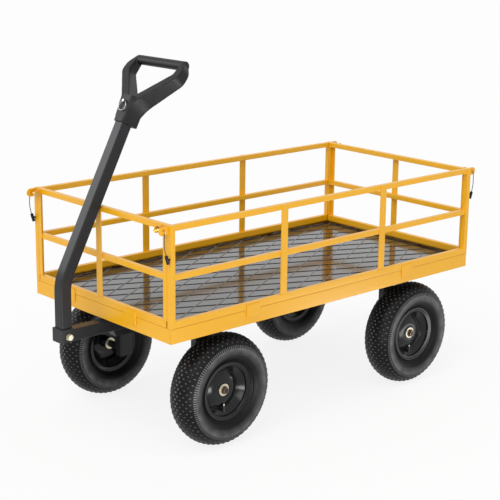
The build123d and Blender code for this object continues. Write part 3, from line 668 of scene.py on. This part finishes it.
# Wheel bearings: two flanged ball races pressed into the hub tube, zinc plated.
# A groove in each flange parts the turning outer race from the sleeve on the axle.
bearing_half = (
    (0.0050, 0.00805),
    (0.0188, 0.00805),
    (0.0190, 0.0084),
    (0.0190, 0.0112),
    (0.0183, 0.0116),
    (0.0179, 0.0124),
    (0.0179, 0.0134),
    (0.0183, 0.0142),
    (0.0188, 0.0146),
    (0.0190, 0.0160),
    (0.0186, 0.0177),
    (0.0180, 0.0180),
    (0.0170, 0.0180),
    (0.0170, 0.0160),
    (0.0050, 0.0160),
)
race_steps = 64
bearings = turned("front_left_bearing_pair", on_wheel(bearing_half), model_hub, wheel_axis, race_steps)
smoothed(bearings, round_degrees)
inner_race = turned("inner_race", on_wheel(inboard(bearing_half)), model_hub, wheel_axis, race_steps)
smoothed(inner_race, round_degrees)
joined([inner_race], bearings)

# Inner tubes: butyl rubber, out of sight in the tyres but for the valve that comes through the rim's well.
# The tube is the CAD solid. The valve's plated end, with its thread and cap, is screwed on its stem.

# Butyl rubber: soft matt black with a talc haze in patches about 12 mm across.
talc_mm = 12.0
butyl, tree, shader, place = surface("butyl_rubber_black")
talc = add(tree, "TexNoise", {"Vector": place, "Scale": 1000 / talc_mm, "Detail": 3.0})
compound = add(
    tree,
    "MixRGB",
    {"Fac": talc.outputs["Fac"], "Color1": linear("#161617"), "Color2": linear("#262627")},
)
dull = add(tree, "MapRange", {"Value": talc.outputs["Fac"], "To Min": 0.5, "To Max": 0.7})
feed(tree, shader, {"Base Color": compound.outputs["Color"], "Roughness": dull.outputs["Result"]})

valve_reach = 0.018
valve_steps = 24
valve_outline = [
    model_hub + Vector((radius, valve_reach, -height))
    for radius, height in (
        (0.0000, 0.0418),
        (0.0022, 0.0418),
        (0.0028, 0.0424),
        (0.0028, 0.0450),
        (0.0023, 0.0453),
        (0.0023, 0.0457),
        (0.0027, 0.0459),
        (0.0027, 0.0468),
        (0.0000, 0.0468),
    )
]
valve_middle = model_hub + Vector((0, valve_reach, 0))
valve = turned("front_left_valve_cap", valve_outline, valve_middle, (0, 0, 1), valve_steps)
smoothed(valve, round_degrees)


def repeated(piece, name, shift, mirrored):
    """A copy of a finished piece with a mesh of its own, turned about for the right side and moved."""
    picked(piece)
    bpy.ops.object.duplicate()
    copy = bpy.context.object
    copy.name = name
    editing(copy)
    if mirrored:
        bpy.ops.transform.resize(value=(1, -1, 1), center_override=model_hub)
        bpy.ops.mesh.flip_normals()
    bpy.ops.transform.translate(value=shift)
    bpy.ops.object.mode_set(mode="OBJECT")
    return copy


wheel_pieces = (
    (tyre, "tyre_moulding", "tyre", rubber, "tyre_rubber"),
    (rim, "rim_pressing", "rim", enamel, "black_paint"),
    (bearings, "bearing_pair", "bearings", zinc, "zinc_plate"),
)
for end, side in corners:
    name = f"{end}_{side}"
    shift = hubs[end, side] - model_hub
    first, mirrored = name == "front_left", side == "right"
    for piece, kind, node, material, slot in wheel_pieces:
        own = piece if first else repeated(piece, f"{name}_{kind}", shift, mirrored)
        dressed(own, f"{name}_{node}", material)
    cap = valve if first else repeated(valve, f"{name}_valve_cap", shift, mirrored)
    cap.data.materials.append(zinc)
    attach(cap, f"{name}_wheel")
    frame["nodes"][f"{name}_inner_tube"].material_slots[0].material = butyl

# Panels: three square tube rails each, between tube posts on the long sides and angle posts on the ends.
# Flat straps stand in between, and tabs on the lowest rail hook over the skirt.
# All is welded up and powder coated yellow like the bed.
for side in ("left", "right", "front", "rear"):
    eased(f"{side}_panel_rails", f"{side}_rails", yellow_coat, radius=0.0016, shortest=0.1)
    eased(f"{side}_panel_posts", f"{side}_posts", yellow_coat, radius=0.0010)
    eased(f"{side}_panel_tabs", f"{side}_tabs", yellow_coat, radius=0.0010)

# Corner pins: steel, passivated yellow, a flat disc head and a plain shank that slides in the latch lug.
# Each joins a long panel to a short one.

# Yellow passivated zinc: a golden film on the plating, iridescent in patches some 4 mm across.
passive_mm = 4.0
passivated, tree, shader, place = surface("yellow_passivated_zinc")
hue = add(tree, "TexNoise", {"Vector": place, "Scale": 1000 / passive_mm, "Detail": 2.0})
metal = add(
    tree,
    "MixRGB",
    {"Fac": hue.outputs["Fac"], "Color1": linear("#CDA54E"), "Color2": linear("#E9CE8E")},
)
gloss = add(tree, "MapRange", {"Value": hue.outputs["Fac"], "To Min": 0.22, "To Max": 0.40})
feed(
    tree,
    shader,
    {"Base Color": metal.outputs["Color"], "Roughness": gloss.outputs["Result"], "Metallic": 1.0},
)
for end, side in corners:
    eased(f"{end}_{side}_pin", f"{end}_{side}_latch_pin", passivated, radius=0.0008)

# Lanyards: thin steel cable in a black sleeve, from the pin's tip down to a crimped ferrule.
# The ferrule is riveted to the corner post, so that a pulled pin stays with its panel.
cord_diameter = 0.0024
# Points of the route: outboard of the bed's end, and below the pin's axis
cord_route = ((0.0170, 0.0043), (0.0185, 0.0190), (0.0190, 0.0370), (0.0170, 0.0530), (0.0128, 0.0665))
route_steps = 12
tip_inset = 0.004
crimp_radius = 0.0010
bed_low, bed_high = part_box("bed_frame")

# Black cable sleeve: extruded vinyl with a fine pitch of ridges from the strands below, 1.2 mm apart.
strand_mm = 1.2
sleeve, tree, shader, place = surface("extruded_vinyl_black")
strand_scale = 1000 / strand_mm / math.tau
strands = add(tree, "TexWave", {"Vector": place, "Scale": strand_scale}, bands_direction="Z")
vinyl = add(
    tree,
    "MixRGB",
    {"Fac": strands.outputs["Fac"], "Color1": linear("#151516"), "Color2": linear("#2B2B2C")},
)
relief = add(tree, "Bump", {"Height": strands.outputs["Fac"], "Strength": 0.4, "Distance": 0.0002})
feed(
    tree,
    shader,
    {"Base Color": vinyl.outputs["Color"], "Normal": relief.outputs["Normal"], "Roughness": 0.42},
)

# Moulded vinyl: dead black and matt, with a worn bloom about 3 mm across.
wear_mm = 3.0
moulded, tree, shader, place = surface("moulded_vinyl_black")
wear = add(tree, "TexNoise", {"Vector": place, "Scale": 1000 / wear_mm, "Detail": 2.0})
vinyl = add(
    tree,
    "MixRGB",
    {"Fac": wear.outputs["Fac"], "Color1": linear("#0B0A0A"), "Color2": linear("#161515")},
)
feed(tree, shader, {"Base Color": vinyl.outputs["Color"], "Roughness": 0.62, "Specular IOR Level": 0.25})

for side in ("left", "right"):
    ferrule = copied(f"{side}_ferrules", f"{side}_ferrules_crimped")
    rolled(ferrule, crimp_radius, segments=3)
    smoothed(ferrule)
    editing(ferrule)
    bpy.ops.mesh.separate(type="LOOSE")
    bpy.ops.object.mode_set(mode="OBJECT")
    for single in list(bpy.context.selected_objects):
        end = "front" if single.data.vertices[0].co.x > 0 else "rear"
        single.name = f"{end}_{side}_ferrule"
        dressed(single, f"{side}_ferrules", moulded)

for end, side in corners:
    pin_low, pin_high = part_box(f"{end}_{side}_pin")
    along = 1 if end == "front" else -1
    corner_x = bed_high.x if end == "front" else bed_low.x
    cord_y = pin_high.y - tip_inset if side == "left" else pin_low.y + tip_inset
    pin_z = (pin_low.z + pin_high.z) / 2
    points = [Vector((corner_x + along * reach, cord_y, pin_z - drop)) for reach, drop in cord_route]

    line = bpy.data.curves.new("lanyard_route", "CURVE")
    line.dimensions = "3D"
    line.resolution_u = route_steps
    spline = line.splines.new("NURBS")
    spline.points.add(len(points) - 1)
    for spot, point in zip(spline.points, points):
        spot.co = (*point, 1)
    spline.order_u = 3
    spline.use_endpoint_u = True
    route = bpy.data.objects.new("lanyard_route", line)
    bpy.context.collection.objects.link(route)
    bpy.context.view_layer.update()
    traced = bpy.data.meshes.new_from_object(route)

    line.bevel_depth = cord_diameter / 2
    line.bevel_resolution = 3
    line.use_fill_caps = True
    picked(route)
    bpy.ops.object.convert(target="MESH")
    lanyard = bpy.context.object
    lanyard.name = f"{end}_{side}_cable"
    editing(lanyard)
    bpy.ops.mesh.remove_doubles(threshold=join_gap)
    bpy.ops.mesh.normals_make_consistent(inside=False)
    smoothed(lanyard, degrees=50)
    lanyard.data.materials.clear()
    lanyard.data.materials.append(sleeve)
    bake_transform(lanyard)
    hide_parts(f"{end}_{side}_lanyard")

# Yoke and handle tube: a folded strap that straddles the tongue's nose, welded to a bent square tube.
# The tube is one draw bend, painted charcoal. A zinc plated bolt through the cheeks is the hinge.
eased("yoke", "handle_yoke", black_paint, radius=0.0012)
eased("handle_tube", "handle_bar", black_paint, radius=0.0006)
eased("pivot_bolt", "handle_pivot_bolt", zinc, radius=0.0007)

# Grip: a D moulded in glass-filled nylon, its socket pushed over the tube's end.
# Every edge is rounded by the mould, and the round top bar fills the hand.
grip_voxel = 0.0018
grip_rounds = 14
grip = copied("grip", "grip_moulding")
bpy.ops.object.mode_set(mode="OBJECT")
picked(grip)
grip.data.remesh_voxel_size = grip_voxel
bpy.ops.object.voxel_remesh()
soften = grip.modifiers.new("mould rounding", "SMOOTH")
soften.factor = 0.5
soften.iterations = grip_rounds
bpy.ops.object.modifier_apply(modifier=soften.name)
bpy.ops.object.shade_smooth()

# Glass-filled nylon: charcoal, satin, with a spark-eroded mould grain about 1.4 mm across.
erosion_mm = 1.4
flow_mm = 60.0
nylon, tree, shader, place = surface("glass_filled_nylon_charcoal")
flow = add(tree, "TexNoise", {"Vector": place, "Scale": 1000 / flow_mm, "Detail": 2.0})
resin = add(
    tree,
    "MixRGB",
    {"Fac": flow.outputs["Fac"], "Color1": linear("#111214"), "Color2": linear("#18191B")},
)
gloss = add(tree, "MapRange", {"Value": flow.outputs["Fac"], "To Min": 0.40, "To Max": 0.52})
erosion = add(tree, "TexVoronoi", {"Vector": place, "Scale": 1000 / erosion_mm})
relief = add(tree, "Bump", {"Height": erosion.outputs["Distance"], "Strength": 0.2, "Distance": 0.0002})
feed(
    tree,
    shader,
    {
        "Base Color": resin.outputs["Color"],
        "Roughness": gloss.outputs["Result"],
        "Normal": relief.outputs["Normal"],
        "IOR": 1.53,
        "Specular IOR Level": 0.25,
    },
)
dressed(grip, "grip", nylon)

# Grip pin and split ring: a nickel plated pin through socket and tube, with a ring in its eye to pull it by.
# The ring is spring wire wound twice round and flattened.

# Bright nickel on spring steel: cold silver, with fine drawing marks about 0.8 mm apart.
draw_mm = 0.8
nickel, tree, shader, place = surface("nickel_plated_spring_steel")
marks = add(tree, "TexNoise", {"Vector": place, "Scale": 1000 / draw_mm, "Detail": 2.0})
metal = add(
    tree,
    "MixRGB",
    {"Fac": marks.outputs["Fac"], "Color1": linear("#858584"), "Color2": linear("#B9B9B7")},
)
gloss = add(tree, "MapRange", {"Value": marks.outputs["Fac"], "To Min": 0.20, "To Max": 0.34})
feed(
    tree,
    shader,
    {"Base Color": metal.outputs["Color"], "Roughness": gloss.outputs["Result"], "Metallic": 1.0},
)
eased("grip_pin", "grip_lock_pin", nickel, radius=0.0006)
eased("grip_ring", "grip_split_ring", nickel, radius=0.0001)

# Studio: a plain pale floor, a broad soft sky, one large soft lamp and four softboxes.
# The background is white to the camera and in reflections, and the floor keeps the cart's shadow.
bpy.context.scene.view_settings.view_transform = "Standard"
floor_size = 80
floor_gap = 0.0005
bpy.ops.object.select_all(action="DESELECT")
bpy.ops.mesh.primitive_plane_add(size=floor_size, location=(0, 0, -floor_gap))
floor = bpy.context.object
floor.name = "studio_floor"


def background_seen(tree):
    """One where the background is looked at, by the camera or by way of gloss or glass, and else nought."""
    ray = add(tree, "LightPath", {}).outputs
    bent = add(tree, "Math", {0: ray["Is Glossy Ray"], 1: ray["Is Transmission Ray"]}, operation="MAXIMUM")
    seen = add(tree, "Math", {0: ray["Is Camera Ray"], 1: bent.outputs[0]}, operation="MAXIMUM")
    return seen.outputs[0]


# Matt white paper: even and pale, with fibres about 3 mm long. Most of what is seen of it is its own white,
# and the rest is lit, so that it shows the shadow.
paper, tree, shader, place = surface("matt_white_paper")
fibre_mm = 3.0
white_share = 0.85
fibre = add(tree, "TexNoise", {"Vector": place, "Scale": 1000 / fibre_mm})
white = add(
    tree,
    "MixRGB",
    {"Fac": fibre.outputs["Fac"], "Color1": linear("#F7F7F7"), "Color2": linear("#FCFCFC")},
)
feed(tree, shader, {"Base Color": white.outputs["Color"], "Roughness": 0.9, "Specular IOR Level": 0.1})
glow = add(tree, "Emission", {"Color": (1, 1, 1, 1), "Strength": 1.0})
part = add(tree, "Math", {0: background_seen(tree), 1: white_share}, operation="MULTIPLY")
both = add(
    tree,
    "MixShader",
    {0: part.outputs[0], 1: shader.outputs["BSDF"], 2: glow.outputs["Emission"]},
)
feed(tree, tree.nodes["Material Output"], {"Surface": both.outputs["Shader"]})
floor.data.materials.append(paper)

sky_level = 0.6
sky = bpy.data.worlds.new("studio_sky")
bpy.context.scene.world = sky
sky.use_nodes = True
tree = sky.node_tree
level = add(tree, "MapRange", {"Value": background_seen(tree), "To Min": sky_level, "To Max": 1.0})
feed(tree, tree.nodes["Background"], {"Color": (1, 1, 1, 1), "Strength": level.outputs["Result"]})

lamp_level = 1.3
lamp_spread = math.radians(50)
lamp_from = Vector((0.75, 0.31, 1.0))
bpy.ops.object.light_add(type="SUN", location=(2, 2, 4))
lamp = bpy.context.object
lamp.name = "soft_lamp"
lamp.data.energy = lamp_level
lamp.data.angle = lamp_spread
lamp.rotation_euler = lamp_from.to_track_quat("Z", "Y").to_euler()

# Softboxes: place, aim, width and depth in metres, watts, and whether it lights as well as shows in gloss
softboxes = (
    ((1.75, -1.9, 1.75), (0.5, 0.0, 0.75), 1.3, 1.3, 18.0, False),
    ((1.3, 2.6, 0.6), (0.2, 0.3, 0.35), 0.9, 0.9, 9.0, True),
    ((0.66, 1.00, 0.02), (0.66, 1.00, 1.0), 0.7, 0.6, 18.0, False),
    ((-0.72, 0.80, 0.02), (-0.72, 0.80, 1.0), 0.4, 0.4, 3.0, False),
)
for stand, aim, width, depth, power, lights in softboxes:
    bpy.ops.object.light_add(type="AREA", location=stand)
    lamp = bpy.context.object
    lamp.name = "softbox"
    lamp.data.shape = "RECTANGLE"
    lamp.data.size = width
    lamp.data.size_y = depth
    lamp.data.energy = power
    lamp.visible_camera = False
    lamp.visible_diffuse = lights
    lamp.rotation_euler = (Vector(stand) - Vector(aim)).to_track_quat("Z", "Y").to_euler()

# Camera: the photograph's place and lens, worked out from the cart's own edges.
# It has no shift, and its depth of field is off.
view_place = Vector((2.68202, 2.94117, 1.50343))
view_yaw = math.radians(227.5235)
view_pitch = math.radians(-14.6994)
view_roll = math.radians(0.67465)
lens_mm = 95.246
sensor_mm = 36
ahead = Vector(
    (
        math.cos(view_pitch) * math.cos(view_yaw),
        math.cos(view_pitch) * math.sin(view_yaw),
        math.sin(view_pitch),
    )
)
level_right = ahead.cross(Vector((0, 0, 1))).normalized()
level_up = level_right.cross(ahead)
right = math.cos(view_roll) * level_right + math.sin(view_roll) * level_up
up = math.cos(view_roll) * level_up - math.sin(view_roll) * level_right
view_turn = Matrix((right, up, -ahead)).transposed().to_euler()
bpy.ops.object.camera_add(location=view_place, rotation=view_turn)
camera = bpy.context.object
camera.data.sensor_width = sensor_mm
camera.data.lens = lens_mm
bpy.context.scene.camera = camera
